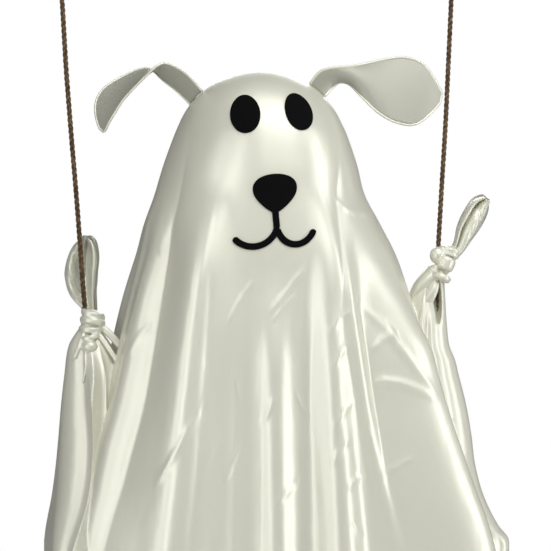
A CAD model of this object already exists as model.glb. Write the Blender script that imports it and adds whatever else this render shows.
# %% [markdown]
# # A sheet ghost with a dog's face, on a rope swing
# The real thing is a length of satin thrown over a foam ball on a stick. The stick stands on a
# swing seat, and the sheet's sides are pulled up and knotted round the two ropes. Everything
# here is in metres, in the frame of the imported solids, so each piece goes where its solid is.

# %% Load the frame
import math

import bmesh
import bpy
import numpy as np
from mathutils import Matrix, Vector, noise
from mathutils.bvhtree import BVHTree


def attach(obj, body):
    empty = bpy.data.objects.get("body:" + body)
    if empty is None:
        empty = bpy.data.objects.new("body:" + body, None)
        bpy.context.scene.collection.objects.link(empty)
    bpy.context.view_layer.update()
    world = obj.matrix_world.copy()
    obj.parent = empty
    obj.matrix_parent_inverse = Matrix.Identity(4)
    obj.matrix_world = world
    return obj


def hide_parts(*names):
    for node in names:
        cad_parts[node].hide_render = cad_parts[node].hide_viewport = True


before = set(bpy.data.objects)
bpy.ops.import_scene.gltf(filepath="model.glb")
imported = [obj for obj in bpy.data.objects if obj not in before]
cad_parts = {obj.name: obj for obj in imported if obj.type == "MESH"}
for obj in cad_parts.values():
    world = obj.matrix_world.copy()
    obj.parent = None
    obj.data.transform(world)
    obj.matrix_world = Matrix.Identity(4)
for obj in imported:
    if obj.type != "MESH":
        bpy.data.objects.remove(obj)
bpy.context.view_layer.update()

# %% [markdown]
# ## Camera
# The camera stands level with the middle of the ghost, a little to its right hand, and uses a
# long lens, because the two ropes hardly converge. It comes first, since the unseen ends of the
# ropes are judged by what it sees.

# %% Camera
AZIMUTH = math.radians(-10.5)
DISTANCE = 2.6
SEEN_WIDTH = 0.6447
TARGET = Vector((0.0195, 0.0, -0.3923))


def make_camera():
    data = bpy.data.cameras.new("camera")
    data.lens = data.sensor_width * DISTANCE / SEEN_WIDTH
    camera = bpy.data.objects.new("camera", data)
    bpy.context.scene.collection.objects.link(camera)
    camera.location = TARGET + DISTANCE * Vector((math.sin(AZIMUTH), -math.cos(AZIMUTH), 0.0))
    camera.rotation_euler = (math.pi / 2, 0.0, AZIMUTH)
    bpy.context.scene.camera = camera
    return data


print("lens:", round(make_camera().lens, 1), "mm")

# %% [markdown]
# ## Nodes as arithmetic
# Materials and Geometry Nodes are both node trees. One small class wraps a socket, so that
# `mask * 0.5 + 0.1` adds the Math nodes by itself, and one method makes every other node.

# %% Sockets and trees


class Number:
    """A socket that Python's arithmetic works on."""

    def __init__(self, tree, socket):
        self.tree, self.socket = tree, socket

    def math(self, operation, *others):
        return self.tree.add("ShaderNodeMath", {"operation": operation}, dict(enumerate((self, *others))))

    def __add__(self, other):
        return self.math("ADD", other)

    def __sub__(self, other):
        return self.math("SUBTRACT", other)

    def __mul__(self, other):
        return self.math("MULTIPLY", other)

    def __truediv__(self, other):
        return self.math("DIVIDE", other)

    def output(self, name):
        return Number(self.tree, self.socket.node.outputs[name])


class Tree:
    """A node tree that is filled by one method."""

    def __init__(self, tree):
        self.tree = tree

    def feed(self, socket, value):
        if isinstance(value, Number):
            self.tree.links.new(value.socket, socket)
        else:
            socket.default_value = value

    def add(self, kind, settings=None, inputs=None, output=0):
        node = self.tree.nodes.new(kind)
        for key, value in (settings or {}).items():
            setattr(node, key, value)
        for key, value in (inputs or {}).items():
            self.feed(node.inputs[key], value)
        return Number(self, node.outputs[output]) if len(node.outputs) else None

    def vector(self, operation, inputs):
        return self.add("ShaderNodeVectorMath", {"operation": operation}, inputs)

    def mix(self, factor, first, second):
        """A blend of two colours."""
        inputs = {0: factor, 6: (*first, 1.0), 7: (*second, 1.0)}
        return self.add("ShaderNodeMix", {"data_type": "RGBA"}, inputs, output=2)


class Finish(Tree):
    """A material: a Principled shader and what feeds it."""

    def __init__(self, name, colour, roughness, **constants):
        self.material = bpy.data.materials.new(name)
        self.material.use_nodes = True
        super().__init__(self.material.node_tree)
        self.shader = self.tree.nodes["Principled BSDF"]
        self.set("Base Color", (*colour, 1.0))
        self.set("Roughness", roughness)
        for key, value in constants.items():
            self.set(key.replace("_", " "), value)

    def set(self, name, value):
        self.feed(self.shader.inputs[name], value)

    def place(self, scale=(1.0, 1.0, 1.0), turn=(0.0, 0.0, 0.0)):
        """Object coordinates, stretched or turned."""
        spot = self.add("ShaderNodeTexCoord", output="Object")
        return self.add("ShaderNodeMapping", inputs={"Vector": spot, "Scale": scale, "Rotation": turn})

    def noise(self, scale, detail=2.0, place=None, roughness=0.5):
        inputs = {"Vector": place or self.place(), "Scale": scale, "Detail": detail, "Roughness": roughness}
        return self.add("ShaderNodeTexNoise", inputs=inputs, output="Fac")

    def bump(self, height, distance, strength=1.0):
        inputs = {"Height": height, "Distance": distance, "Strength": strength}
        self.set("Normal", self.add("ShaderNodeBump", inputs=inputs))


print("node helpers ready")

# %% [markdown]
# ## Satin
# Satin floats its threads along the surface, so light runs down each fold in a long, soft
# streak while the weave itself can't be seen. The shader is a pale base with a fairly low
# roughness and a partly metallic gloss, as filament yarn shines far more than cotton. The bump
# holds what is too small for the mesh: slack ripples and the soft creases left from folding.

# %% Satin finishes
SATIN_COLOUR = (0.72, 0.715, 0.61)
SATIN_SHADE = (0.68, 0.676, 0.575)


def make_satin(name, colour, shade, roughness):
    satin = Finish(name, colour, roughness, Specular_IOR_Level=0.9, Metallic=0.25, Coat_Weight=0.3,
                   Coat_Roughness=0.3)
    patches = satin.noise(5.0)
    satin.set("Base Color", satin.mix(patches, shade, colour))
    ripples = satin.noise(9.0, 3.0, satin.place((1.0, 1.0, 0.28), (0.0, 0.5, 0.0)), 0.55)
    creases = satin.noise(26.0, 3.0, satin.place((1.0, 1.0, 0.45), (0.0, -0.6, 0.0)), 0.5)
    soft = (creases - 0.5).math("ABSOLUTE")
    satin.bump(ripples * 0.7 + soft * 0.5, 0.004, 0.5)
    satin.set("Roughness", ripples * 0.10 + (roughness - 0.05))
    return satin.material


SATIN = make_satin("satin_cloth", SATIN_COLOUR, SATIN_SHADE, 0.36)
LINING = make_satin("satin_lining", (0.37, 0.37, 0.31), (0.35, 0.35, 0.29), 0.5)
print("finishes:", SATIN.name, LINING.name)

# %% [markdown]
# ## Felt, jute, pine, foam and steel
# Felt is a mat of fibres, so its black is dull and slightly uneven. Jute is brown with paler
# fibres that catch the light. The pine, foam and steel are inside the sheet, but anyone who
# lifts the hem sees them, so they get their grain, beads and scratches too.

# %% Other finishes


def make_felt():
    felt = Finish("black_felt", (0.002, 0.002, 0.002), 0.9, Specular_IOR_Level=0.08)
    fibres = felt.noise(1400.0, 4.0)
    felt.set("Base Color", felt.mix(fibres, (0.0010, 0.0010, 0.0012), (0.0035, 0.0035, 0.0040)))
    felt.bump(fibres, 0.0004, 0.6)
    return felt.material


def make_jute():
    jute = Finish("jute_rope", (0.09, 0.055, 0.032), 0.9, Specular_IOR_Level=0.2)
    fibres = jute.noise(1100.0, 3.0, jute.place((1.0, 1.0, 0.25), (0.35, 0.35, 0.0)))
    patches = jute.noise(160.0, 2.0)
    worn = {"Value": fibres + patches * 0.5, "From Min": 0.62, "From Max": 1.0}
    pale = jute.add("ShaderNodeMapRange", inputs=worn)
    jute.set("Base Color", jute.mix(pale, (0.045, 0.028, 0.017), (0.24, 0.155, 0.085)))
    jute.bump(fibres, 0.0006, 0.9)
    return jute.material


def make_pine():
    pine = Finish("pine_board", (0.62, 0.42, 0.23), 0.5)
    rings = pine.add("ShaderNodeTexWave", {"wave_type": "RINGS", "rings_direction": "X"},
                     {"Vector": pine.place((0.4, 1.0, 1.0)), "Scale": 26.0, "Distortion": 5.0, "Detail": 2.0})
    grain = pine.noise(9.0, 5.0, pine.place((3.0, 40.0, 40.0)))
    pine.set("Base Color", pine.mix(rings * 0.6 + grain * 0.4, (0.66, 0.47, 0.28), (0.47, 0.28, 0.13)))
    pine.set("Roughness", grain * 0.2 + 0.45)
    pine.bump(grain, 0.0006, 0.5)
    return pine.material


def make_foam():
    foam = Finish("bead_foam", (0.88, 0.88, 0.86), 0.75)
    beads = foam.add("ShaderNodeTexVoronoi", {"feature": "DISTANCE_TO_EDGE"},
                     {"Vector": foam.place(), "Scale": 260.0})
    foam.bump(beads, 0.0008, 0.8)
    foam.set("Roughness", foam.noise(60.0) * 0.2 + 0.6)
    return foam.material


def make_steel():
    steel = Finish("steel_wire", (0.60, 0.60, 0.62), 0.3, Metallic=1.0)
    scratches = steel.noise(900.0, 2.0, steel.place((1.0, 1.0, 8.0)))
    steel.set("Roughness", scratches * 0.25 + 0.2)
    return steel.material


FELT, JUTE, PINE, FOAM, STEEL = make_felt(), make_jute(), make_pine(), make_foam(), make_steel()
print("finishes:", *(m.name for m in (FELT, JUTE, PINE, FOAM, STEEL)))

# %% [markdown]
# ## Curves through points
# Ropes, ears, tails and mouth are all drawn by a few points. A Catmull-Rom curve runs through
# them smoothly, which keeps the points few enough to read and to change by hand.

# %% Curves and tables


def through(points, t):
    """A point at share t along a smooth curve through points."""
    place = min(max(t, 0.0), 1.0) * (len(points) - 1)
    i = min(int(place), len(points) - 2)
    u = place - i
    a, b, c, d = (Vector(points[min(max(k, 0), len(points) - 1)]) for k in (i - 1, i, i + 1, i + 2))
    return 0.5 * (2 * b + (c - a) * u + (2 * a - 5 * b + 4 * c - d) * u * u + (3 * b - a - 3 * c + d) * u**3)


def spread_out(points, count):
    return [through(points, i / (count - 1)) for i in range(count)]


def along(table, x, column):
    """One column of a table at the numbers x, on a smooth curve through its rows."""
    rows = np.array(table, float)
    keys, values = rows[:, 0], rows[:, column]
    low, high = np.maximum(np.arange(len(keys)) - 1, 0), np.minimum(np.arange(len(keys)) + 1, len(keys) - 1)
    slopes = (values[high] - values[low]) / (keys[high] - keys[low])
    x = np.clip(x, keys[0], keys[-1])
    i = np.clip(np.searchsorted(keys, x) - 1, 0, len(keys) - 2)
    width = keys[i + 1] - keys[i]
    t = (x - keys[i]) / width
    return (values[i] * (1 + 2 * t) * (1 - t) ** 2 + slopes[i] * width * t * (1 - t) ** 2
            + values[i + 1] * t * t * (3 - 2 * t) - slopes[i + 1] * width * t * t * (1 - t))


def ramp(x, low, high):
    t = np.clip((x - low) / (high - low), 0.0, 1.0)
    return t * t * (3 - 2 * t)


def add_piece(name, mesh, finish):
    """A finished mesh as an object at the origin, smooth and in its material."""
    piece = bpy.data.objects.new(name, mesh)
    bpy.context.scene.collection.objects.link(piece)
    mesh.materials.clear()
    mesh.materials.append(finish)
    mesh.shade_smooth()
    return piece


def stand_for(piece, node):
    """Say which solid a piece takes the place of, and with which finish."""
    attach(piece, "root")
    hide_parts(node)


def mesh_from(build, name):
    mesh = bpy.data.meshes.new(name)
    build.to_mesh(mesh)
    build.free()
    return mesh


def applied(piece):
    """Bake a piece's modifiers into its mesh, and shade it smooth."""
    graph = bpy.context.evaluated_depsgraph_get()
    mesh = bpy.data.meshes.new_from_object(piece.evaluated_get(graph), depsgraph=graph)
    piece.modifiers.clear()
    piece.data = mesh
    mesh.shade_smooth()
    return piece


def give_wall(piece, thickness, side=0.0):
    """Turn a leaf of faces into cloth with a thickness."""
    wall = piece.modifiers.new("wall", "SOLIDIFY")
    wall.thickness, wall.offset = thickness, side
    return piece


def add_strips(build, lines, closed=True):
    """Quads between rows of points that are already in the mesh."""
    for low, high in zip(lines, lines[1:]):
        for i in range(len(low) if closed else len(low) - 1):
            j = (i + 1) % len(low)
            build.faces.new((low[i], low[j], high[j], high[i]))


def add_skin(build, rows, closed=True, cap_start=False, cap_end=False, join_ends=False):
    """Quads over new rows of points, open, capped, or with the last row joined to the first."""
    lines = [[build.verts.new(p) for p in row] for row in rows]
    add_strips(build, lines + lines[:1] if join_ends else lines, closed)
    if cap_start:
        build.faces.new(list(reversed(lines[0])))
    if cap_end:
        build.faces.new(lines[-1])


def loft(rows, **ends):
    """A mesh of its own from rows of points."""
    build = bmesh.new()
    add_skin(build, rows, **ends)
    bmesh.ops.recalc_face_normals(build, faces=build.faces)
    return build


def sweep(points, radius, sides=8):
    """A round tube along points, as a mesh."""
    rows = []
    clean = [points[0]] + [b for a, b in zip(points, points[1:]) if (b - a).length > 0.0004]
    normal = Vector((0, 1, 0))
    for i, spot in enumerate(clean):
        ahead = (clean[min(i + 1, len(clean) - 1)] - clean[max(i - 1, 0)]).normalized()
        normal = (normal - ahead * normal.dot(ahead)).normalized()
        other = ahead.cross(normal)
        turns = [2 * math.pi * k / sides for k in range(sides)]
        rows.append([spot + (normal * math.cos(a) + other * math.sin(a)) * radius for a in turns])
    return mesh_from(loft(rows, cap_start=True, cap_end=True), "tube")


print("a curve's middle:", tuple(through([(0, 0, 0), (1, 1, 0), (2, 0, 0)], 0.5)))

# %% [markdown]
# ## Ropes
# Each rope is three strands laid round each other, six millimetres thick. It runs from a loop
# above, through the knot in the cloth, to a stopper knot under the seat, and the ghost's weight
# holds it taut. Geometry Nodes copy the line once for each strand, push each copy off the line
# at an angle that grows with its length, and sweep a small circle along it.

# %% Rope tree
ROPE_DIAMETER = 0.006
STRANDS = 3
# Shares of the rope's diameter: a strand's way off the middle, its radius, and one full turn
STRAND_REACH, STRAND_RADIUS, LAY = 0.275, 0.235, 3.4


def rope_tree():
    group = bpy.data.node_groups.new("laid_rope", "GeometryNodeTree")
    for name, kind in (("Line", "Geometry"), ("Diameter", "Float"), ("Lay", "Float"), ("Step", "Float"),
                       ("Finish", "Material")):
        group.interface.new_socket(name=name, in_out="INPUT", socket_type="NodeSocket" + kind)
    group.interface.new_socket(name="Rope", in_out="OUTPUT", socket_type="NodeSocketGeometry")
    tree = Tree(group)
    given = tree.add("NodeGroupInput")
    size, step = given.output("Diameter"), given.output("Step")
    curve = tree.add("GeometryNodeMeshToCurve", inputs={0: given})
    curve = tree.add("GeometryNodeSetCurveNormal", {"mode": "MINIMUM_TWIST"}, {0: curve})
    curve = tree.add("GeometryNodeResampleCurve", {"mode": "LENGTH"}, {"Curve": curve, "Length": step})
    copies = tree.add("GeometryNodeDuplicateElements", {"domain": "SPLINE"}, {0: curve, "Amount": STRANDS})
    length = tree.add("GeometryNodeSplineParameter", output="Length")
    turn = (length / given.output("Lay") + copies.output("Duplicate Index") / float(STRANDS)) * (2 * math.pi)
    ahead, side = tree.add("GeometryNodeInputTangent"), tree.add("GeometryNodeInputNormal")
    other = tree.vector("CROSS_PRODUCT", {0: ahead, 1: side})
    reach = size * STRAND_REACH
    one = tree.vector("SCALE", {0: side, "Scale": turn.math("COSINE") * reach})
    two = tree.vector("SCALE", {0: other, "Scale": turn.math("SINE") * reach})
    offset = tree.vector("ADD", {0: one, 1: two})
    strands = tree.add("GeometryNodeSetPosition", inputs={0: copies, "Offset": offset})
    strand = {"Resolution": 8, "Radius": size * STRAND_RADIUS}
    ring = tree.add("GeometryNodeCurvePrimitiveCircle", inputs=strand)
    swept = {"Curve": strands, "Profile Curve": ring, "Fill Caps": True}
    rope = tree.add("GeometryNodeCurveToMesh", inputs=swept)
    rope = tree.add("GeometryNodeRealizeInstances", inputs={0: rope})
    rope = tree.add("GeometryNodeSetMaterial", inputs={0: rope, "Material": given.output("Finish")})
    tree.add("NodeGroupOutput", inputs={0: rope})
    return group


ROPE_TREE = rope_tree()


def lay_rope(name, points, diameter, step):
    """A laid rope along points, as a plain mesh."""
    build = bmesh.new()
    line = [build.verts.new(p) for p in points]
    for a, b in zip(line, line[1:]):
        build.edges.new((a, b))
    rope = add_piece(name, mesh_from(build, name), JUTE)
    nodes = rope.modifiers.new("rope", "NODES")
    nodes.node_group = ROPE_TREE
    sockets = {s.name: s.identifier for s in ROPE_TREE.interface.items_tree if s.in_out == "INPUT"}
    for key, value in (("Diameter", diameter), ("Lay", diameter * LAY), ("Step", step), ("Finish", JUTE)):
        nodes[sockets[key]] = value
    return applied(rope)


print("rope tree:", len(ROPE_TREE.nodes), "nodes")

# %% [markdown]
# ## Laying the ropes
# The routes are the middles of the two ropes, from loop to seat, as (x, z) points in the plane
# that both hang in. The loop's foot is bound with twine, and the stopper is two turns of the
# rope's own end.

# %% Ropes and their knots
LEFT_ROUTE = [
    (-0.2327, -0.0450), (-0.2299, -0.0780), (-0.2274, -0.1200), (-0.2250, -0.1600), (-0.2219, -0.2000),
    (-0.2187, -0.2400), (-0.2153, -0.2800), (-0.2121, -0.3200), (-0.2091, -0.3600), (-0.2063, -0.4000),
    (-0.2039, -0.4300), (-0.2031, -0.4600), (-0.2029, -0.5000), (-0.2027, -0.5500), (-0.2024, -0.6000),
    (-0.2021, -0.6500), (-0.2019, -0.6900), (-0.2019, -0.7180),
]
RIGHT_ROUTE = [
    (0.2327, -0.0450), (0.2311, -0.0800), (0.2292, -0.1200), (0.2273, -0.1600), (0.2254, -0.2000),
    (0.2231, -0.2400), (0.2205, -0.2800), (0.2181, -0.3200), (0.2163, -0.3500), (0.2151, -0.3750),
    (0.2149, -0.4000), (0.2167, -0.4300), (0.2211, -0.4800), (0.2263, -0.5400), (0.2313, -0.6000),
    (0.2359, -0.6500), (0.2399, -0.6900), (0.2411, -0.7180),
]
SEAT_TOP_Z, SEAT_BOTTOM_Z = -0.703, -0.718
TWINE = 0.0024
# Half the width of each loop, and its lowest and highest z
LOOP_HALF, LOOP_FOOT, LOOP_CROWN = 0.0075, -0.0295, -0.0030
# Windings: z from and to, radius, turns
WHIPPING = (-0.0435, -0.0310, 0.0060, 5.0)
STOPPER = (-0.7333, -0.7213, 0.0062, 2.0)


def coil(centre_x, low, high, radius, turns):
    """Points of a winding round an upright line."""
    points = []
    for t in np.linspace(0, 1, int(turns * 16) + 1):
        a = 2 * math.pi * turns * t
        points.append(Vector((centre_x + radius * math.cos(a), radius * math.sin(a), low + (high - low) * t)))
    return points


def loop_outline(centre_x):
    """A narrow eye of rope: up one side, over the crown and down the other."""
    half = [(0.0032, 0.0), (0.0036, 0.004), (LOOP_HALF * 0.85, 0.0105), (LOOP_HALF, 0.0165),
            (LOOP_HALF * 0.75, 0.0225)]
    right = [(x, LOOP_FOOT + up) for x, up in half]
    left = [(-x, z) for x, z in reversed(right)]
    return [(centre_x + x, 0.0, z) for x, z in right + [(0.0, LOOP_CROWN)] + left]


def make_swing_rope(side, route):
    path = spread_out([(x, 0.0, z) for x, z in route], 60)
    top_x, foot_x = route[0][0], route[-1][0]
    rope = lay_rope(side + "_rope_laid", path, ROPE_DIAMETER, 0.0013)
    loop = lay_rope(side + "_loop_laid", spread_out(loop_outline(top_x), 60), ROPE_DIAMETER, 0.0012)
    whipping = lay_rope(side + "_loop_whipping", coil(top_x, *WHIPPING), TWINE, 0.0009)
    stopper = lay_rope(side + "_stopper_laid", coil(foot_x, *STOPPER), ROPE_DIAMETER, 0.0013)
    for node, piece in {"rope": rope, "loop": loop, "loop_knot": whipping, "stop_knot": stopper}.items():
        stand_for(piece, side + "_" + node)
    return rope


for side, route in (("left", LEFT_ROUTE), ("right", RIGHT_ROUTE)):
    rope = make_swing_rope(side, route)
    print(rope.name, len(rope.data.polygons), "faces")

# %% [markdown]
# ## The sheet's shape
# Satin is heavy and slippery, so it falls from the head in long folds that widen as they go
# down. A cloth simulation would drop the folds where it likes. Here they follow the real ones,
# so the sheet is written as a radius for every direction and height: a dome, then a width that
# grows, then a bump for each fold. Three tables hold the widths, the folds and the creases.

# %% Widths and folds
HEAD_X = 0.0016
CROWN_Z = -0.152
DOME_RADIUS = 0.1029
HEM_Z = -0.808
HEM_DROP = CROWN_Z - HEM_Z

# Drop below the crown, then how far the sheet goes past its dome: left, right, front, back,
# and how square its section is
SPREAD = [
    (0.059, -0.0098, -0.0098, -0.0098, -0.0098, 2.0),
    (0.076, -0.0025, -0.0018, -0.0035, -0.0035, 2.0),
    (0.111, 0.0104, 0.0104, 0.0005, 0.0005, 2.0),
    (0.146, 0.0210, 0.0198, 0.0020, 0.0020, 2.0),
    (0.181, 0.0325, 0.0385, 0.0030, 0.0030, 2.1),
    (0.216, 0.0385, 0.0565, 0.0040, 0.0040, 2.2),
    (0.251, 0.0465, 0.0690, 0.0045, 0.0050, 2.3),
    (0.286, 0.0550, 0.0800, 0.0055, 0.0060, 2.4),
    (0.327, 0.0635, 0.0955, 0.0065, 0.0075, 2.6),
    (0.386, 0.0775, 0.1115, 0.0080, 0.0095, 2.8),
    (0.433, 0.0905, 0.1265, 0.0100, 0.0110, 3.0),
    (0.480, 0.1000, 0.1425, 0.0120, 0.0130, 3.2),
    (0.526, 0.1105, 0.1595, 0.0140, 0.0150, 3.4),
    (0.570, 0.1140, 0.1670, 0.0160, 0.0170, 3.6),
    (0.680, 0.1190, 0.1700, 0.0200, 0.0200, 3.6),
]

# Angle from the face at the top and at the hem, the drop where the fold starts, its height at
# the hem, and the widths of its left and right flanks in degrees
FOLDS = [
    (-83.0, -84.0, 0.120, 0.0060, 4.5, 4.5),
    (-70.0, -72.0, 0.140, 0.0140, 7.0, 6.5),
    (-37.5, -41.0, 0.120, 0.0320, 14.0, 7.0),
    (-26.0, -29.0, 0.180, 0.0070, 7.0, 6.0),
    (-2.0, -1.0, 0.225, 0.0130, 10.5, 8.5),
    (29.0, 27.0, 0.130, 0.0240, 7.5, 12.0),
    (32.0, 53.0, 0.150, 0.0120, 5.5, 7.0),
    (64.0, 67.5, 0.200, 0.0300, 14.0, 6.0),
    (100.0, 101.0, 0.130, 0.0020, 9.0, 9.0),
    (126.0, 124.0, 0.110, 0.0250, 11.0, 9.0),
    (152.0, 154.0, 0.140, 0.0190, 9.0, 11.0),
    (181.0, 179.0, 0.120, 0.0270, 12.0, 10.0),
    (207.0, 209.0, 0.150, 0.0180, 9.0, 9.0),
    (234.0, 231.0, 0.110, 0.0250, 10.0, 12.0),
    (256.0, 257.0, 0.140, 0.0140, 8.0, 8.0),
]
FOLD_GROWTH = 0.130

# Lines where one fold runs into the next: (drop, angle) points, then the crease's depth, and
# the widths in degrees of the slopes on its left and right
CREASES = [
    ([(0.06, -60.0), (0.20, -62.2), (0.38, -62.0), (0.53, -66.0), (0.67, -69.0)], 0.0080, 5.0, 5.0),
    ([(0.13, -35.4), (0.20, -35.0), (0.29, -35.0), (0.38, -36.0), (0.54, -38.2), (0.67, -41.0)],
     0.0100, 4.5, 3.0),
    ([(0.06, 52.0), (0.20, 37.2), (0.29, 33.8), (0.38, 38.2), (0.47, 42.0), (0.67, 52.0)],
     0.0065, 7.0, 3.0),
    ([(0.20, 40.0), (0.29, 43.5), (0.38, 47.0), (0.47, 48.5), (0.54, 50.8), (0.67, 55.0)],
     0.0100, 6.0, 5.0),
    ([(0.24, -9.5), (0.38, -9.0), (0.54, -8.8), (0.67, -8.5)], 0.0020, 7.0, 6.0),
    ([(0.24, 20.0), (0.38, 19.0), (0.47, 19.5), (0.67, 20.0)], 0.0045, 7.0, 3.5),
    ([(0.20, -24.0), (0.38, -23.5), (0.67, -24.5)], 0.0016, 4.0, 3.0),
    ([(0.16, 118.0), (0.67, 113.0)], 0.0080, 5.0, 6.0),
    ([(0.16, 140.0), (0.67, 138.0)], 0.0080, 6.0, 4.0),
    ([(0.20, 168.0), (0.67, 165.0)], 0.0090, 7.0, 5.0),
    ([(0.18, 194.0), (0.67, 196.0)], 0.0080, 5.0, 6.0),
    ([(0.16, 222.0), (0.67, 220.0)], 0.0080, 4.0, 6.0),
    ([(0.20, 245.0), (0.67, 246.0)], 0.0070, 5.0, 5.0),
]
CREASE_GROWTH = 0.22


def spread(drop, column):
    """How far the sheet is from the middle line in one direction: the dome, then the table."""
    dome = np.sqrt(np.maximum(2 * DOME_RADIUS * drop - drop * drop, 0.0))
    return np.where(drop < SPREAD[0][0], dome, DOME_RADIUS + along(SPREAD, drop, column))


def angle_from(angle, middle):
    """Signed angle in degrees from a middle line, the short way round."""
    return np.degrees((angle - np.radians(middle) + math.pi) % (2 * math.pi) - math.pi)


def fold_height(angle, drop):
    """Round ridges that fade in below their start and go on growing to the hem."""
    total = np.zeros(np.broadcast(angle, drop).shape)
    for top, hem, start, height, left, right in FOLDS:
        share = np.maximum((drop - start) / (HEM_DROP - start), 0.0)
        off = angle_from(angle, top + (hem - top) * share)
        width = np.where(off < 0, left, right)
        grow = ramp(drop, start, start + FOLD_GROWTH) * (0.55 + 0.45 * share)
        total += height * grow * np.exp(-((off / width) ** 2))
    return total


def crease_depth(angle, drop):
    """Valleys that are sharp on their line and fade to both sides."""
    total = np.zeros(np.broadcast(angle, drop).shape)
    for line, depth, left, right in CREASES:
        off = angle_from(angle, along(line, drop, 1))
        width = np.where(off < 0, left, right)
        sharp = np.sqrt((off / width) ** 2 + 0.01) - 0.1
        total += depth * ramp(drop, line[0][0], line[0][0] + CREASE_GROWTH) * np.exp(-sharp)
    return total


def sheet_radius(angle, drop):
    """The sheet's distance from the middle line: a squared oval with its folds and creases."""
    across = np.where(np.sin(angle) < 0, spread(drop, 1), spread(drop, 2))
    deep = np.where(np.cos(angle) > 0, spread(drop, 3), spread(drop, 4))
    power = along(SPREAD, drop, 5)
    flat = (np.abs(np.sin(angle) / across) ** power + np.abs(np.cos(angle) / deep) ** power) ** (-1 / power)
    return flat + fold_height(angle, drop) - crease_depth(angle, drop)


print("radius at the hem, front:", round(float(sheet_radius(np.array(0.0), np.array(HEM_DROP))), 4))

# %% [markdown]
# Between the long folds satin shows short wrinkles, mostly slanting, where it was creased in
# its packet or is pulled towards the knots. Each is a line of (x, z) points on the front with a
# height and a width, all in millimetres, and it dies out at both ends.

# %% Wrinkles
WRINKLES = [
    ([(-161, -482), (-152, -466), (-137, -447)], 2.1, 2.2),
    ([(-138, -626), (-115, -587), (-93, -550), (-77, -519)], 2.4, 2.4),
    ([(-57, -450), (-42, -423), (-26, -398)], 1.9, 2.2), ([(-60, -624), (-50, -600), (-41, -579)], 1.9, 2.2),
    ([(-4, -648), (12, -633), (28, -619)], 1.8, 2.0), ([(117, -621), (139, -608), (161, -598)], 2.1, 2.2),
    ([(-9, -435), (12, -411), (33, -384)], 1.9, 2.2), ([(-5, -444), (9, -426), (23, -415)], 1.4, 2.0),
    ([(76, -632), (92, -619), (107, -611)], 1.8, 2.0), ([(59, -456), (71, -440), (88, -432)], 1.9, 2.2),
    ([(63, -496), (73, -478), (86, -463)], 1.8, 2.0), ([(-125, -358), (-121, -369), (-116, -379)], 1.2, 2.0),
    ([(71, -302), (80, -313), (97, -320), (117, -321), (134, -321)], 1.8, 2.0),
    ([(111, -516), (124, -512), (144, -515), (169, -524), (191, -535)], 4.0, 4.0),
    ([(99, -427), (121, -445), (143, -472), (164, -499), (195, -535)], 2.8, 4.5),
    ([(110, -479), (125, -464), (144, -454)], 2.7, 2.8), ([(130, -441), (136, -459), (140, -479)], 2.1, 2.8),
    ([(61, -565), (75, -545), (90, -530)], 1.5, 2.0), ([(-18, -559), (-9, -542), (-3, -527)], 1.2, 2.0),
    ([(-83, -608), (-74, -586), (-63, -571)], 1.2, 2.0), ([(58, -607), (69, -587), (84, -574)], 1.5, 2.0),
    ([(38, -554), (27, -536), (22, -523)], 1.0, 2.0), ([(-41, -531), (-46, -513), (-44, -498)], 1.0, 2.0),
    ([(101, -560), (108, -577), (110, -595)], 1.4, 2.2), ([(82, -665), (89, -677), (97, -684)], 1.5, 2.0),
]


def wrinkle_height(x, z):
    """Height of all wrinkles at places on the front, in metres."""
    x, z = x * 1000, z * 1000
    total = np.zeros(x.shape)
    for line, height, width in WRINKLES:
        best = np.full(x.shape, 1000.0)
        place = np.zeros(x.shape)
        for k, ((ax, az), (bx, bz)) in enumerate(zip(line, line[1:])):
            dx, dz = bx - ax, bz - az
            t = np.clip(((x - ax) * dx + (z - az) * dz) / (dx * dx + dz * dz), 0.0, 1.0)
            far = np.hypot(x - ax - t * dx, z - az - t * dz)
            place = np.where(far < best, (k + t) / (len(line) - 1), place)
            best = np.minimum(best, far)
        total += height * np.sin(math.pi * place) ** 0.7 * np.exp(-((best / width) ** 1.6))
    return total / 1000


print("wrinkles:", len(WRINKLES))

# %% [markdown]
# ## The sheet's mesh
# The body is a loft of rings from the crown to just past the hem, with more points in front,
# where the folds show best. Each side of the sheet is a second loft: narrow and pleated at its
# knot, wide where it goes over the end of the seat. A Boolean joins the three, and another cuts
# the gap between the gathers under the right knot.

# %% Body and sides
SEAT_X, SEAT_LENGTH, SEAT_DEPTH, SEAT_CORNER = 0.0196, 0.523, 0.140, 0.012
SLACK = 0.0042
LEFT_KNOT = Vector((-0.1959, 0.0, -0.4530))
RIGHT_KNOT = Vector((0.2216, 0.0, -0.3780))

# Columns of the sides' tables after the share of the drop from knot to seat: the share of the
# way out to the seat's end, and the x of the inner edge
WAY_OUT, INNER_X = 1, 2
LEFT_SIDE = [
    (0.00, 0.000, -0.1869), (0.08, 0.330, -0.1729), (0.22, 0.475, -0.1589), (0.36, 0.576, -0.1529),
    (0.50, 0.643, -0.1479), (0.64, 0.715, -0.1429), (0.78, 0.813, -0.1329), (0.92, 0.957, -0.1279),
    (1.00, 1.000, -0.1229),
]
RIGHT_SIDE = [
    (0.00, 0.000, 0.2071), (0.07, 0.000, 0.1871), (0.14, 0.017, 0.1771), (0.24, 0.048, 0.1651),
    (0.30, 0.086, 0.1571), (0.35, 0.190, 0.1531), (0.40, 0.250, 0.1491), (0.51, 0.380, 0.1421),
    (0.62, 0.457, 0.1371), (0.73, 0.495, 0.1321), (0.84, 0.612, 0.1271), (0.94, 0.828, 0.1221),
    (0.98, 0.985, 0.1178), (1.00, 1.000, 0.1171),
]
SIDE_TOP_DEPTH = 0.010
BELOW_HEM = 0.012
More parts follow.
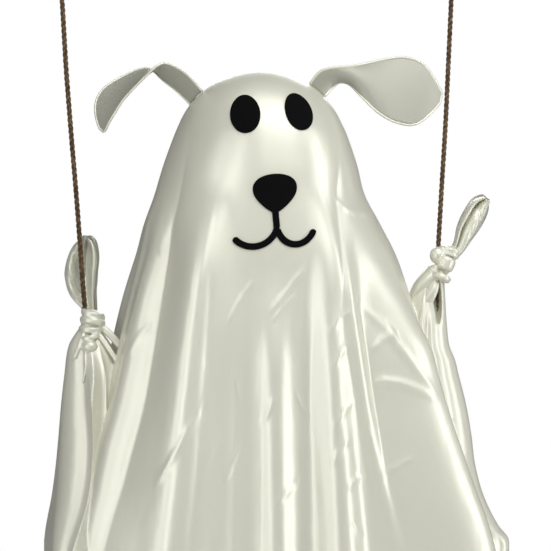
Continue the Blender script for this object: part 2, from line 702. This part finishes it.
# The gap where the rope shows below the right knot: its middle and size
SLIT_CENTRE, SLIT_SIZE = (0.2116, -0.0150, -0.4230), (0.0110, 0.040, 0.054)

# Folds on the front and back of each side: share of the way in from the outer edge at the
# knot, at the seat, height, width, and the shares of the drop between which each shows
LEFT_SIDE_FOLDS = [
    (0.52, 0.12, 0.0170, 0.140, 0.02, 2.0), (0.25, 0.05, 0.0030, 0.050, 0.02, 0.60),
    (0.80, 0.42, 0.0040, 0.070, 0.05, 2.0), (0.66, 0.60, 0.0030, 0.060, 0.02, 2.0),
]
RIGHT_SIDE_FOLDS = [
    (0.55, 0.30, 0.0100, 0.080, 0.10, 2.0), (0.30, 0.16, 0.0040, 0.060, 0.04, 2.0),
    (0.72, 0.50, 0.0090, 0.070, 0.04, 2.0), (0.14, 0.04, 0.0025, 0.045, 0.20, 2.0),
]


def make_body():
    """Rings from near the crown to below the hem, and a fan that closes the crown."""
    dome = [DOME_RADIUS * (1 - math.cos(math.radians(a))) for a in np.linspace(3.0, 62.0, 22)]
    drops = np.array(dome + list(np.linspace(0.059, HEM_DROP + BELOW_HEM, 186)))[:, None]
    front, back = np.linspace(-100, 100, 321), np.linspace(100, 260, 81)[1:-1]
    angles = np.radians(np.concatenate([front, back]))[None, :]
    radius = sheet_radius(angles, drops)
    x, y = HEAD_X + radius * np.sin(angles), -radius * np.cos(angles)
    z = CROWN_Z - drops + 0 * x
    lift = wrinkle_height(x, z) * (np.cos(angles) > 0)
    x, y = x + lift * np.sin(angles), y - lift * np.cos(angles)
    rows = [list(zip(*line)) for line in zip(x.tolist(), y.tolist(), z.tolist())]
    build = loft(rows, cap_end=True)
    crown = build.verts.new((HEAD_X, 0.0, CROWN_Z))
    for edge in [e for e in build.edges if e.is_boundary]:
        build.faces.new((*edge.verts, crown))
    bmesh.ops.recalc_face_normals(build, faces=build.faces)
    return add_piece("sheet", mesh_from(build, "sheet"), SATIN)


def side_lift(way_in, share, folds):
    """How far a side's face stands out, a share of the way in from its outer edge."""
    total = 0.0
    for top, low, height, width, first, last in folds:
        middle = top + (low - top) * min(share, 1.0)
        grow = float(ramp(share, first, first + 0.25)) * (1 - float(ramp(share, last - 0.25, last)))
        total += height * grow * math.exp(-abs((way_in - middle) / width) ** 1.5)
    return total * math.sin(math.pi * way_in) ** 0.35


def round_box(low, high, half_depth, corner, side, share, folds):
    """Points round an upright box with round corners and folds on its front and back."""
    arc, across, deep = 8, 60, 12
    corner = min(corner, half_depth * 0.999, (high - low) * 0.4999)
    centres = [(low + corner, corner - half_depth, 180), (high - corner, corner - half_depth, 270),
               (high - corner, half_depth - corner, 0), (low + corner, half_depth - corner, 90)]
    points = []
    for k, (x, y, start) in enumerate(centres):
        for i in range(arc + 1):
            a = math.radians(start + 90 * i / arc)
            points.append((x + corner * math.cos(a), y + corner * math.sin(a)))
        next_x, next_y, next_start = centres[(k + 1) % 4]
        a = math.radians(next_start)
        end = (next_x + corner * math.cos(a), next_y + corner * math.sin(a))
        begin = points[-1]
        count = across if k % 2 == 0 else deep
        for i in range(1, count):
            t = i / count
            spot = begin[0] + (end[0] - begin[0]) * t
            way_in = (spot - low) / (high - low) if side < 0 else (high - spot) / (high - low)
            lift = side_lift(way_in, share, folds) * (-1 if k == 0 else 1 if k == 2 else 0)
            points.append((spot, begin[1] + (end[1] - begin[1]) * t + lift))
    return points


def make_side(side, knot, reach, table, power, folds):
    """One side of the sheet: flat rings at its knot, as wide and deep as the seat below."""
    end = SEAT_X + side * (SEAT_LENGTH / 2 + SLACK)
    depth_low, corner_low = SEAT_DEPTH / 2 + SLACK, SEAT_CORNER + SLACK
    edge = knot.x + side * reach
    fall = SEAT_TOP_Z - knot.z
    levels = [(s, knot.z + s * fall) for s in np.linspace(0.0, 1.0, 84)]
    below = np.linspace(SEAT_BOTTOM_Z, HEM_Z - BELOW_HEM - 0.004, 14)
    levels += [(1.0 + 0.05 * i, z) for i, z in enumerate(below)]
    rows = []
    for share, z in levels:
        drop = min(share, 1.0)
        outer = edge + (end - edge) * float(along(table, np.array(drop), WAY_OUT))
        inner = float(along(table, np.array(drop), INNER_X))
        depth = SIDE_TOP_DEPTH + (depth_low - SIDE_TOP_DEPTH) * drop**power
        corner = depth + (corner_low - depth) * drop**1.5
        ring = round_box(min(outer, inner), max(outer, inner), depth, corner, side, share, folds)
        rows.append([(x, y, z) for x, y in ring])
    return add_piece("side", mesh_from(loft(rows, cap_start=True, cap_end=True), "side"), SATIN)


def make_slit():
    build = bmesh.new()
    place = Matrix.Translation(SLIT_CENTRE) @ Matrix.Diagonal((*SLIT_SIZE, 1.0))
    bmesh.ops.create_uvsphere(build, u_segments=40, v_segments=32, radius=0.5, matrix=place)
    return add_piece("slit", mesh_from(build, "slit"), SATIN)


def combine(piece, other, operation="UNION"):
    """Join or cut with another closed piece, which is used up."""
    step = piece.modifiers.new("combine", "BOOLEAN")
    step.operation, step.solver, step.object = operation, "MANIFOLD", other
    applied(piece)
    bpy.data.objects.remove(other, do_unlink=True)
    return piece


sheet = make_body()
combine(sheet, make_side(-1, LEFT_KNOT, 0.0150, LEFT_SIDE, 1.0, LEFT_SIDE_FOLDS))
combine(sheet, make_side(1, RIGHT_KNOT, 0.0015, RIGHT_SIDE, 1.3, RIGHT_SIDE_FOLDS))
combine(sheet, make_slit(), "DIFFERENCE")
print("sheet:", len(sheet.data.vertices), "points")

# %% [markdown]
# ## Soft creases and the hem
# Where a side goes in behind the body, the Boolean leaves a hard line, so the points beside it
# are relaxed. Then the sheet is cut at the hem, and a thin roll is laid along its edge, as a
# hem is rolled and sewn.

# %% Relax and trim
HEM_RADIUS = 0.0013
HARD_EDGE = math.radians(28)
WELD = 0.0003


def relax_creases(build, rounds):
    """Smooth the points on and beside the edges that bend hard."""
    inner = [e for e in build.edges if len(e.link_faces) == 2]
    near = {v for e in inner if e.calc_face_angle(0.0) > HARD_EDGE for v in e.verts}
    near |= {e.other_vert(v) for v in near for e in v.link_edges}
    every_axis = {"use_axis_x": True, "use_axis_y": True, "use_axis_z": True}
    for _ in range(rounds):
        bmesh.ops.smooth_vert(build, verts=list(near), factor=0.5, **every_axis)


def trim_sheet(piece):
    build = bmesh.new()
    build.from_mesh(piece.data)
    bmesh.ops.remove_doubles(build, verts=build.verts, dist=WELD)
    relax_creases(build, 3)
    everything = build.verts[:] + build.edges[:] + build.faces[:]
    hem_plane = {"plane_co": (0, 0, HEM_Z), "plane_no": (0, 0, -1)}
    bmesh.ops.bisect_plane(build, geom=everything, clear_outer=True, **hem_plane)
    build.to_mesh(piece.data)
    build.free()
    piece.data.shade_smooth()


def make_hem(piece):
    """A round roll along the sheet's open edge."""
    build = bmesh.new()
    build.from_mesh(piece.data)
    rim = [e for e in build.edges if e.is_boundary]
    loop, spot = [], rim[0].verts[0]
    left = set(rim)
    while left:
        edge = next((e for e in spot.link_edges if e in left), None)
        if edge is None:
            break
        left.discard(edge)
        loop.append(spot.co.copy())
        spot = edge.other_vert(spot)
    build.free()
    return add_piece("hem", sweep(loop[::2] + loop[:1], HEM_RADIUS, 6), SATIN)


trim_sheet(sheet)
hem = make_hem(sheet)
print("hem:", len(hem.data.polygons), "faces")
print("sheet:", sum(len(p.vertices) - 2 for p in sheet.data.polygons), "triangles")

# %% [markdown]
# ## Knots and tails
# Each side of the sheet is twisted, wound round its rope and tucked in. A knot is drawn as
# cores, bands wound round them and straps that run down into the gathers, in millimetres from
# its middle. A voxel remesh melts them together, as pulled cloth does.

# %% Knot parts
KNOT_VOXEL = 0.0009
BAND_THICKNESS = 3.3

# Cores: place and half sizes. Bands: middle, radius, tilt, pitch and half height.
# Straps: points along the middle, half widths and half thickness.
LEFT_CORES = [((-1.5, 0, 6), (11.0, 10.5, 16.5)), ((-4.0, -16, -20.5), (9.4, 9.0, 7.4)),
              ((6.0, 1, 12), (9.5, 9, 8))]
LEFT_BANDS = [((0.8, 0, 16.6), 10.2, 14, 8, 4.2), ((0.8, -1, 7.6), 11.6, 13, -4, 4.3),
              ((-1.4, -4, -1.4), 10.8, 5, 5, 3.9), ((-2.8, -9, -10.5), 9.2, -15, 0, 3.6)]
LEFT_STRAPS = [
    ([(8, -5, 4), (14, -6, -1.5), (22, -8, -9), (33, -10, -22), (42, -12, -34)], (4, 4.5, 4.5, 4.5, 4), 2.4),
    ([(5, -11, -4), (10, -14, -11), (18, -18, -23), (29.5, -22, -41), (36, -26, -52)],
     (2.5, 3, 3, 3, 2.5), 2.0),
    ([(-9, -10, -4), (-13, -13, -13), (-17, -16, -23), (-22, -18, -34)], (3, 3.2, 3, 2.2), 2.2),
    ([(-8, -18, -24), (-9.5, -22, -33), (-9.5, -25, -44), (-13, -28, -62)], (1.8, 1.8, 1.6, 0.8), 1.6),
]
RIGHT_CORES = [((-7.6, -5, 9.5), (9.6, 8.5, 10.5)), ((0, -3, 0), (9.4, 9.0, 15)), ((7, -1, 16), (12, 9, 6.0))]
RIGHT_BANDS = [((8.0, -1, 16.4), 10.4, 14, 5, 3.1), ((6.4, -2, 10.2), 9.2, 18, -4, 2.6),
               ((1.0, -8, 0.0), 8.0, 20, 0, 8.2), ((-5.2, -13, -16.6), 8.2, 24, -5, 3.8)]
RIGHT_STRAPS = [
    ([(-8, -9, -12), (-15, -10.5, -17), (-25, -10, -27), (-33, -8, -42), (-37, -2, -58)],
     (6, 7.5, 8.5, 8, 6), 3.4),
    ([(-11, -12, -22), (-15, -14, -32), (-22, -13, -46), (-29, -6, -62)], (4, 5.5, 6, 5), 3.0),
]


def add_core(build, knot, centre, size):
    place = Matrix.Translation(knot + Vector(centre) / 1000) @ Matrix.Diagonal((*(Vector(size) / 1000), 1.0))
    bmesh.ops.create_uvsphere(build, u_segments=28, v_segments=18, radius=1.0, matrix=place)


def add_band(build, knot, middle, radius, tilt, pitch, half):
    """One turn of gathered cloth: a ring whose section is a flat oval with soft pleats."""
    turn = Matrix.Rotation(math.radians(tilt), 3, "Y") @ Matrix.Rotation(math.radians(pitch), 3, "X")
    rows = []
    for a in np.linspace(0, 2 * math.pi, 64, endpoint=False):
        row = []
        for b in np.linspace(0, 2 * math.pi, 20, endpoint=False):
            swell = 1 + 0.10 * math.sin(4 * b + 2 * math.sin(a))
            out, up = BAND_THICKNESS * swell * math.cos(b), half * math.sin(b)
            spot = turn @ Vector(((radius + out) * math.cos(a), (radius * 0.92 + out) * math.sin(a), up))
            row.append(knot + (spot + Vector(middle)) / 1000)
        rows.append(row)
    add_skin(build, rows, join_ends=True)


def add_strap(build, knot, points, widths, thick):
    """A flat oval of gathered cloth along a curve, closed at both ends."""
    widths = [(w, 0, 0) for w in widths]
    rows = []
    for t in np.linspace(0, 1, 27):
        spot, half = through(points, t), through(widths, t).x
        ahead = (through(points, min(t + 0.03, 1)) - through(points, max(t - 0.03, 0))).normalized()
        side = Vector((0, 1, 0)).cross(ahead).normalized()
        face = ahead.cross(side)
        row = []
        for a in np.linspace(0, 2 * math.pi, 16, endpoint=False):
            off = side * (half * math.cos(a)) + face * (thick * math.sin(a))
            row.append(knot + (spot + off) / 1000)
        rows.append(row)
    add_skin(build, rows, cap_start=True, cap_end=True)


def make_knot(name, knot, cores, bands, straps):
    build = bmesh.new()
    for core in cores:
        add_core(build, knot, *core)
    for each in bands:
        add_band(build, knot, *each)
    for each in straps:
        add_strap(build, knot, *each)
    bmesh.ops.recalc_face_normals(build, faces=build.faces)
    piece = add_piece(name, mesh_from(build, name), SATIN)
    melt = piece.modifiers.new("melt", "REMESH")
    melt.mode, melt.voxel_size = "VOXEL", KNOT_VOXEL
    soft = piece.modifiers.new("soft", "SMOOTH")
    soft.factor, soft.iterations = 0.5, 2
    return applied(piece)


left_knot = make_knot("left_knot", LEFT_KNOT, LEFT_CORES, LEFT_BANDS, LEFT_STRAPS)
right_knot = make_knot("right_knot", RIGHT_KNOT, RIGHT_CORES, RIGHT_BANDS, RIGHT_STRAPS)
print("knots:", len(left_knot.data.polygons), len(right_knot.data.polygons), "faces")

# %% [markdown]
# The tails are leaves of cloth that open above the knots, one in front of the other. Across each
# leaf runs one profile of ridges and hollows, which grows from the knot, with a few creases.

# %% Tails
# x from the knot, y, drop below the knot's middle, and width, along the tail's middle
LEFT_TAIL = [
    (0.0000, 0.0095, -0.0080, 0.014), (-0.0012, 0.0105, -0.0278, 0.016), (-0.0079, 0.0115, -0.0474, 0.033),
    (-0.0096, 0.0120, -0.0671, 0.039), (-0.0072, 0.0120, -0.0844, 0.037), (-0.0049, 0.0120, -0.0995, 0.026),
    (-0.0049, 0.0120, -0.1070, 0.012),
]
RIGHT_TAIL = [
    (0.0010, -0.0030, 0.0020, 0.012), (0.0095, -0.0040, -0.0098, 0.014), (0.0202, -0.0050, -0.0217, 0.018),
    (0.0285, -0.0060, -0.0395, 0.028), (0.0371, -0.0060, -0.0549, 0.031), (0.0463, -0.0040, -0.0705, 0.027),
    (0.0530, -0.0020, -0.0789, 0.012),
]

# Place across the leaf from its left edge (-1) to its right (1), and how far back it lies
LEFT_PROFILE = [(-1.0, 0.0050), (-0.80, -0.0040), (-0.45, -0.0010), (-0.15, 0.0075), (0.25, 0.0085),
                (0.55, 0.0035), (0.80, -0.0050), (1.0, -0.0010)]
RIGHT_PROFILE = [(-1.0, 0.0050), (-0.78, -0.0035), (-0.46, 0.0066), (-0.20, -0.0014), (0.25, -0.0036),
                 (0.58, -0.0016), (0.80, 0.0060), (1.0, 0.0105)]
BACK_PROFILE = [(-1.0, 0.0030), (-0.4, -0.0010), (0.2, 0.0020), (0.7, -0.0010), (1.0, 0.0040)]
# Small creases across a tail: place across and along at both ends, depth and width
LEFT_DENTS = [(-1.0, 0.49, -0.2, 0.37, 0.0060, 0.05), (-0.95, 0.33, -0.2, 0.12, 0.0045, 0.045),
              (-0.9, 0.76, -0.25, 0.58, 0.0050, 0.06)]
RIGHT_DENTS = [(-0.3, 0.84, 0.75, 0.66, 0.0030, 0.05), (0.1, 0.60, 0.7, 0.40, 0.0016, 0.06)]
TAIL_THICKNESS = 0.0011


def leaf_of(table, share, x, y, drop):
    """The same leaf, narrower or wider and moved."""
    return [(a + x, b + y, c + drop, w * share) for a, b, c, w in table]


def dent(u, t, line):
    """How deep a crease is at (u, t): deepest on its line, less beside it and beyond its ends."""
    u0, t0, u1, t1, depth, width = line
    du, dt = (u1 - u0) * 0.5, t1 - t0
    way = ((u - u0) * 0.5 * du + (t - t0) * dt) / (du * du + dt * dt)
    on = min(max(way, 0.0), 1.0)
    away = math.hypot((u - u0) * 0.5 - on * du, t - t0 - on * dt)
    return depth * math.exp(-(away / width) ** 2)


def make_tail(name, knot, table, profile, slant, dents, curl, finish=SATIN):
    """A leaf along the table's curve, its profile opening out above the knot, its tip curled."""
    spots = [(knot.x + x, y, knot.z - drop) for x, y, drop, width in table]
    widths = [(width, 0, 0) for x, y, drop, width in table]
    rows = []
    for t in np.linspace(0, 1, 61):
        ahead = (through(spots, min(t + 0.02, 1.0)) - through(spots, max(t - 0.02, 0.0))).normalized()
        side = Vector((0, 1, 0)).cross(ahead).normalized()
        spot, width = through(spots, t), through(widths, t).x
        open_share = 0.25 + 0.75 * float(ramp(t, 0.05, 0.55))
        row = []
        for u in np.linspace(-1.0, 1.0, 57):
            shift = u + slant * (t - 0.5) * (1 - abs(u))
            back = float(along(profile, np.array(shift), 1)) * open_share
            crumple = 0.0011 * noise.noise(Vector((u * 2.2, t * 5.0 + u * 2.0, knot.z * 40)))
            back += sum(dent(u, t, line) for line in dents) + curl * float(ramp(t, 0.72, 1.05)) ** 2
            row.append(spot + side * (u * width / 2) + Vector((0, back + crumple, 0)))
        rows.append(row)
    tail = add_piece(name, mesh_from(loft(rows, closed=False), name), finish)
    return applied(give_wall(tail, TAIL_THICKNESS))


left_leaf = leaf_of(LEFT_TAIL, 0.88, -0.0022, 0.0, 0.0045)
left_tail = make_tail("left_tail", LEFT_KNOT, left_leaf, LEFT_PROFILE, 0.25, LEFT_DENTS, 0.004)
right_leaf = leaf_of(RIGHT_TAIL, 0.86, -0.0016, -0.002, 0.0035)
right_tail = make_tail("right_tail", RIGHT_KNOT, right_leaf, RIGHT_PROFILE, -0.25, RIGHT_DENTS, -0.008)
left_leaf = leaf_of(LEFT_TAIL, 0.86, 0.0022, 0.006, 0.0)
left_back = make_tail("left_tail_back", LEFT_KNOT, left_leaf, BACK_PROFILE, 0.0, [], 0.004, LINING)
right_leaf = leaf_of(RIGHT_TAIL, 0.90, 0.0008, 0.006, 0.0)
right_back = make_tail("right_tail_back", RIGHT_KNOT, right_leaf, BACK_PROFILE, 0.0, [], -0.004, LINING)
print("tails:", len(left_tail.data.polygons), len(right_tail.data.polygons), "faces")

# %% [markdown]
# ## Declaring the sheet
# The sheet, its knots and its tails are one cloth, so they are declared together, with the size
# that the cloth was cut to before it was draped.

for piece in (sheet, hem, left_knot, right_knot, left_tail, right_tail, left_back, right_back):
    stand_for(piece, "satin_sheet")

# %% [markdown]
# ## Ears
# Each ear is a leaf of satin with a paler rolled rim and a greyer lining, twisted once so that
# its lining shows. Two curves draw its edges and the leaf is stretched between them.

# %% Ears
# Both edges in millimetres, as (x, y, drop below the crown), from the root to the tip
LEFT_EAR_RIM = [
    (-69.5, -6, 25.1), (-88.8, -10, 6.1), (-110.4, -14, -4.2), (-122.2, -16, -0.9), (-132.7, -16, 8.5),
    (-146.3, -14, 22.3), (-161.9, -11, 40), (-174.4, -8, 62), (-178.1, -4, 77.5),
]
LEFT_EAR_EDGE = [
    (-77.3, 10, 43), (-93.9, 12, 26.3), (-111.3, 14, 12.4), (-123.4, 20, 0.4), (-135.8, 24, -0.9),
    (-155.8, 24, 7.6), (-180.4, 18, 23.5), (-191.4, 12, 45), (-189.7, 6, 70),
]
RIGHT_EAR_RIM = [
    (61.8, 0, 13.8), (71.8, -4, 1.4), (86.7, -7, -3.5), (103.8, -6, -5.1), (122.9, -1, -8.3),
    (148.3, 4, -14.5), (177.1, 6, -18.2), (203.1, 4, -8.5), (221.1, 0, 13.1),
]
RIGHT_EAR_EDGE = [
    (78.9, -2, 28.9), (87.7, 3, 19.6), (97.9, 6, 12.7), (109.1, 2, 15.8), (121.3, -8, 30.6),
    (140.4, -14, 49.6), (163.3, -16, 61.2), (190.6, -12, 61.8), (217.6, -6, 44),
]
EAR_THICKNESS = 0.0016
RIM_RADIUS = 0.0015
DOME_CENTRE = Vector((HEAD_X, 0.0, CROWN_Z - DOME_RADIUS))


def ear_rows(rim, edge, bulge):
    """Points across the leaf from rim to edge: cupped, narrowing at the tip, its root on the head."""
    rim, edge = [Vector(p) / 1000 for p in rim], [Vector(p) / 1000 for p in edge]
    rows = []
    for t in np.linspace(0, 1, 61):
        a, b = through(rim, t), through(edge, t)
        middle, half = (a + b) / 2, (b - a) / 2
        narrow = math.sqrt(max(1 - max((t - 0.80) / 0.205, 0.0) ** 2, 0.0))
        low, high = max(t - 0.02, 0.0), t if t > 0 else 0.02
        ahead = through(rim, high) + through(edge, high) - through(rim, low) - through(edge, low)
        face = half.cross(ahead).normalized()
        row = []
        for u in np.linspace(-1, 1, 25):
            cup = bulge * (1 - u * u) * math.sin(math.pi * min(t * 1.1, 1.0))
            spot = middle + half * (u * narrow) + face * cup
            row.append(Vector((spot.x, spot.y, CROWN_Z - spot.z)))
        rows.append(row)
    root = DOME_RADIUS + 0.0006
    rows[0] = [DOME_CENTRE + (p - DOME_CENTRE).normalized() * root for p in rows[0]]
    return rows


def make_ear(name, node, rim, edge, bulge):
    rows = ear_rows(rim, edge, bulge)
    leaf = add_piece(name, mesh_from(loft(rows, closed=False), name), LINING)
    applied(give_wall(leaf, EAR_THICKNESS))
    outline = [row[0] for row in rows] + rows[-1][1:-1] + [row[-1] for row in reversed(rows)]
    rolled = add_piece(name + "_rim", sweep(outline, RIM_RADIUS), SATIN)
    for piece in (leaf, rolled):
        stand_for(piece, node)
    return leaf


left_ear = make_ear("left_ear_leaf", "left_ear", LEFT_EAR_RIM, LEFT_EAR_EDGE, 0.004)
right_ear = make_ear("right_ear_leaf", "right_ear", RIGHT_EAR_RIM, RIGHT_EAR_EDGE, -0.006)
print("ears:", len(left_ear.data.polygons), len(right_ear.data.polygons), "faces")

# %% [markdown]
# ## Face
# The eyes, nose and mouth are cut from black felt and glued on. Each outline is drawn flat and
# then laid on the sheet by casting a ray at it, so the felt follows the curve of the head.

# %% Laying felt on the sheet
FELT_THICKNESS = 0.0012
FELT_ROUND = 0.0004
FELT_LIFT = 0.0002
# The face leans a little: degrees, and metres to its own right
FACE_TILT, FACE_SHIFT = 3.2, -0.0020
graph = bpy.context.evaluated_depsgraph_get()
SKIN = BVHTree.FromObject(sheet.evaluated_get(graph), graph)


def on_face(across, drop):
    """The point of the sheet's front at a place on the face, lifted off it."""
    x = HEAD_X + FACE_SHIFT + across
    z = CROWN_Z - drop + across * math.tan(math.radians(FACE_TILT))
    spot, normal, _, _ = SKIN.ray_cast(Vector((x, -1.0, z)), Vector((0, 1, 0)))
    return spot + normal * FELT_LIFT


def finish_felt(name, node, build):
    """Turn a skin of faces outwards and give it the felt's thickness and soft edges."""
    for face in build.faces:
        face.normal_update()
    if sum(face.normal.y for face in build.faces) > 0:
        bmesh.ops.reverse_faces(build, faces=build.faces)
    patch = give_wall(add_piece(name, mesh_from(build, name), FELT), FELT_THICKNESS, 1.0)
    edge = patch.modifiers.new("edge", "BEVEL")
    edge.width, edge.segments, edge.limit_method = FELT_ROUND, 2, "ANGLE"
    stand_for(applied(patch), node)
    return patch


def make_patch(name, node, outline):
    """Felt inside an outline, filled by rings towards its middle."""
    mid_x, mid_drop = (sum(p[k] for p in outline) / len(outline) for k in (0, 1))
    build = bmesh.new()
    rows = []
    for size in np.linspace(1, 0, 8, endpoint=False):
        ring = [on_face(mid_x + (x - mid_x) * size, mid_drop + (d - mid_drop) * size) for x, d in outline]
        rows.append([build.verts.new(p) for p in ring])
    middle = build.verts.new(on_face(mid_x, mid_drop))
    add_strips(build, rows)
    for a, b in zip(rows[-1], rows[-1][1:] + rows[-1][:1]):
        build.faces.new((a, b, middle))
    return finish_felt(name, node, build)


print("face is at y =", round(on_face(0.0, 0.1).y, 4))

# %% [markdown]
# ## Eyes and nose
# Each eye is an oval that leans towards the other at its top, the right one more than the left.
# The nose is a triangle with round sides.

# %% Eyes and nose
EYE_SPACING, EYE_DROP, EYE_WIDTH, EYE_HEIGHT = 0.061, 0.0565, 0.0325, 0.0445
EYE_LEANS = {-1: 5.0, 1: 17.0}
NOSE_DROP, NOSE_WIDTH, NOSE_HEIGHT = 0.148, 0.0515, 0.0438


def eye_outline(side):
    """An oval, a little fuller below, turned by its lean in degrees."""
    turn = math.radians(EYE_LEANS[side]) * side
    points = []
    for a in np.linspace(0, 2 * math.pi, 56, endpoint=False):
        x = EYE_WIDTH / 2 * math.sin(a) * (1 - 0.05 * math.cos(a))
        y = EYE_HEIGHT / 2 * math.cos(a)
        points.append((side * EYE_SPACING / 2 + x * math.cos(turn) - y * math.sin(turn),
                       EYE_DROP - (x * math.sin(turn) + y * math.cos(turn))))
    return points


def nose_outline():
    """A triangle with full, round sides, its point down."""
    points = []
    for a in np.linspace(0, 2 * math.pi, 64, endpoint=False):
        y = math.cos(a)
        width = 1.0 - 0.30 * (1 - y) / 2 - 0.22 * max(-y, 0.0) ** 2
        lift = 0.10 * math.sin(a) ** 2
        points.append((NOSE_WIDTH / 2 * math.sin(a) * width * 1.13, NOSE_DROP - NOSE_HEIGHT / 2 * (y + lift)))
    return points


make_patch("left_eye_felt", "left_eye", eye_outline(-1))
make_patch("right_eye_felt", "right_eye", eye_outline(1))
nose = make_patch("nose_felt", "nose", nose_outline())
print("nose:", len(nose.data.polygons), "faces")

# %% [markdown]
# ## Mouth
# The mouth is a strip of felt of even width: a bow to each side with a round end, and a short
# stem that joins both bows to the nose.

# %% Mouth
MOUTH_DROP, MOUTH_FORK = 0.1868, 0.0018
MOUTH_WIDTHS = {-1: 0.0484, 1: 0.0428}
MOUTH_TURNS = {-1: 0.874, 1: 0.952}
MOUTH_DEPTH, MOUTH_STROKE = 0.0198, 0.0074


def mouth_half(side):
    """From the fork: straight down at first, round a bow, and out to the corner."""
    line = []
    for t in np.linspace(0, 1, 29):
        last = math.pi * MOUTH_TURNS[side]
        out = (1 - math.cos(last * t)) / (1 - math.cos(last))
        sag = MOUTH_DEPTH * math.sin(last * t) ** 0.85
        line.append((MOUTH_FORK + side * MOUTH_WIDTHS[side] * (0.45 * t + 0.55 * out), MOUTH_DROP + sag))
    return line


def stroke(line, round_start=True):
    """Rows of points across a stroke of even width with round ends."""
    length = [0.0]
    for a, b in zip(line, line[1:]):
        length.append(length[-1] + math.hypot(b[0] - a[0], b[1] - a[1]))
    radius = MOUTH_STROKE / 2
    rows = []
    ends = [radius * (1 - math.cos(a)) for a in np.linspace(0.15, math.pi / 2, 6)]
    middle = [d for d in length if radius * 1.1 < d < length[-1] - radius * 1.1]
    for d in (ends if round_start else [0.0, radius]) + middle + [length[-1] - e for e in reversed(ends)]:
        i = next((k for k in range(len(length) - 2) if length[k + 1] >= d), len(length) - 2)
        t = (d - length[i]) / (length[i + 1] - length[i])
        dx, dd = line[i + 1][0] - line[i][0], line[i + 1][1] - line[i][1]
        x, drop = line[i][0] + dx * t, line[i][1] + dd * t
        near = min(d if round_start else radius, length[-1] - d, radius)
        half = math.sqrt(max(radius**2 - (radius - near) ** 2, 0.0))
        side_x, side_drop = -dd * half / math.hypot(dx, dd), dx * half / math.hypot(dx, dd)
        rows.append([on_face(x + side_x * s, drop + side_drop * s) for s in (-1, -0.5, 0, 0.5, 1)])
    return rows


def make_mouth():
    """Two bows that meet at the fork, and a stem from there up to the nose."""
    whole = list(reversed(mouth_half(-1))) + mouth_half(1)[1:]
    top, foot = NOSE_DROP + NOSE_HEIGHT / 2 - 0.001, MOUTH_DROP + MOUTH_STROKE * 0.3
    stem = [(MOUTH_FORK * t, top + (foot - top) * t) for t in np.linspace(0, 1, 14)]
    finish_felt("mouth_felt", "mouth", loft(stroke(whole), closed=False))
    return finish_felt("mouth_stem", "mouth", loft(stroke(stem, round_start=False), closed=False))


print("mouth stem:", len(make_mouth().data.polygons), "faces")

# %% [markdown]
# ## What is under the sheet
# The seat, post, screw and ball keep the shapes of their solids and only get their finishes.

# %% Hidden pieces
for node, finish in (("seat_board", PINE), ("post", PINE), ("post_screw", STEEL), ("head_ball", FOAM)):
    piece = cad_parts[node]
    for slot in piece.material_slots:
        slot.material = finish
    print(node, "->", finish.name)

# %% [markdown]
# ## Light and floor
# Tall strips of light stand to the right and the left, so that each fold carries long streaks.
# Soft lamps above light the dome, one behind lights the back, and the world fills the rest.
# Rays from the camera see the world as white.

# %% Floor, lamps and world
FLOOR_Z, FLOOR_RADIUS = HEM_Z - 0.30, 2.0
WORLD_STRENGTH = 0.13
LAMP_COLOUR = (0.99, 1.0, 0.99)
BODY, HEAD = TARGET, Vector((0.0, 0.0, -0.24))
# Name, what it points at, metres from it, degrees to the right of the front, degrees up, size
# and watts
LAMPS = [
    ("right", BODY, 2.7, 64, 2, (0.6, 2.2), 24.0), ("right rim", BODY, 2.7, 105, 0, (0.4, 2.0), 2.5),
    ("left", BODY, 2.7, -54, 3, (0.5, 2.2), 12.0), ("near left", BODY, 2.7, -33, 3, (0.4, 2.0), 14.0),
    ("high right", BODY, 2.7, 45, 44, (1.5, 1.5), 10.0),
    ("front", HEAD, 1.4, 14, 34, (1.2, 1.2), 9.5), ("top", BODY, 2.7, 0, 68, (2.0, 1.5), 20.0),
    ("back", BODY, 2.7, 168, 28, (1.4, 1.0), 20.0),
]


def make_floor():
    build = bmesh.new()
    place = Matrix.Translation((0, 0, FLOOR_Z))
    bmesh.ops.create_circle(build, cap_ends=True, segments=96, radius=FLOOR_RADIUS, matrix=place)
    pale = Finish("floor", (0.85, 0.85, 0.84), 0.9)
    pale.set("Base Color", pale.mix(pale.noise(3.0), (0.84, 0.84, 0.83), (0.87, 0.87, 0.86)))
    floor = add_piece("floor", mesh_from(build, "floor"), pale.material)
    return floor


def make_lamp(name, aim, distance, turn, rise, size, power):
    turn, rise = math.radians(turn), math.radians(rise)
    way = Vector((math.sin(turn) * math.cos(rise), -math.cos(turn) * math.cos(rise), math.sin(rise)))
    data = bpy.data.lights.new(name, "AREA")
    data.shape, data.energy, data.color = "RECTANGLE", power, LAMP_COLOUR
    data.size, data.size_y = size
    lamp = bpy.data.objects.new(name, data)
    bpy.context.scene.collection.objects.link(lamp)
    lamp.location = aim + way * distance
    lamp.rotation_euler = way.to_track_quat("Z", "Y").to_euler()
    return lamp


def make_world(strength):
    """A dim white world that only rays from the camera or through things see as bright."""
    world = bpy.data.worlds.new("studio")
    bpy.context.scene.world = world
    world.use_nodes = True
    tree = Tree(world.node_tree)
    light = world.node_tree.nodes["Background"]
    light.inputs["Color"].default_value = (1.0, 1.0, 1.0, 1.0)
    rays = tree.add("ShaderNodeLightPath")
    seen = rays.math("MAXIMUM", rays.output("Is Transmission Ray"))
    tree.feed(light.inputs["Strength"], seen * (1.0 - strength) + strength)


make_floor()
for lamp in LAMPS:
    make_lamp(*lamp)
make_world(WORLD_STRENGTH)
bpy.context.scene.view_settings.view_transform = "Standard"
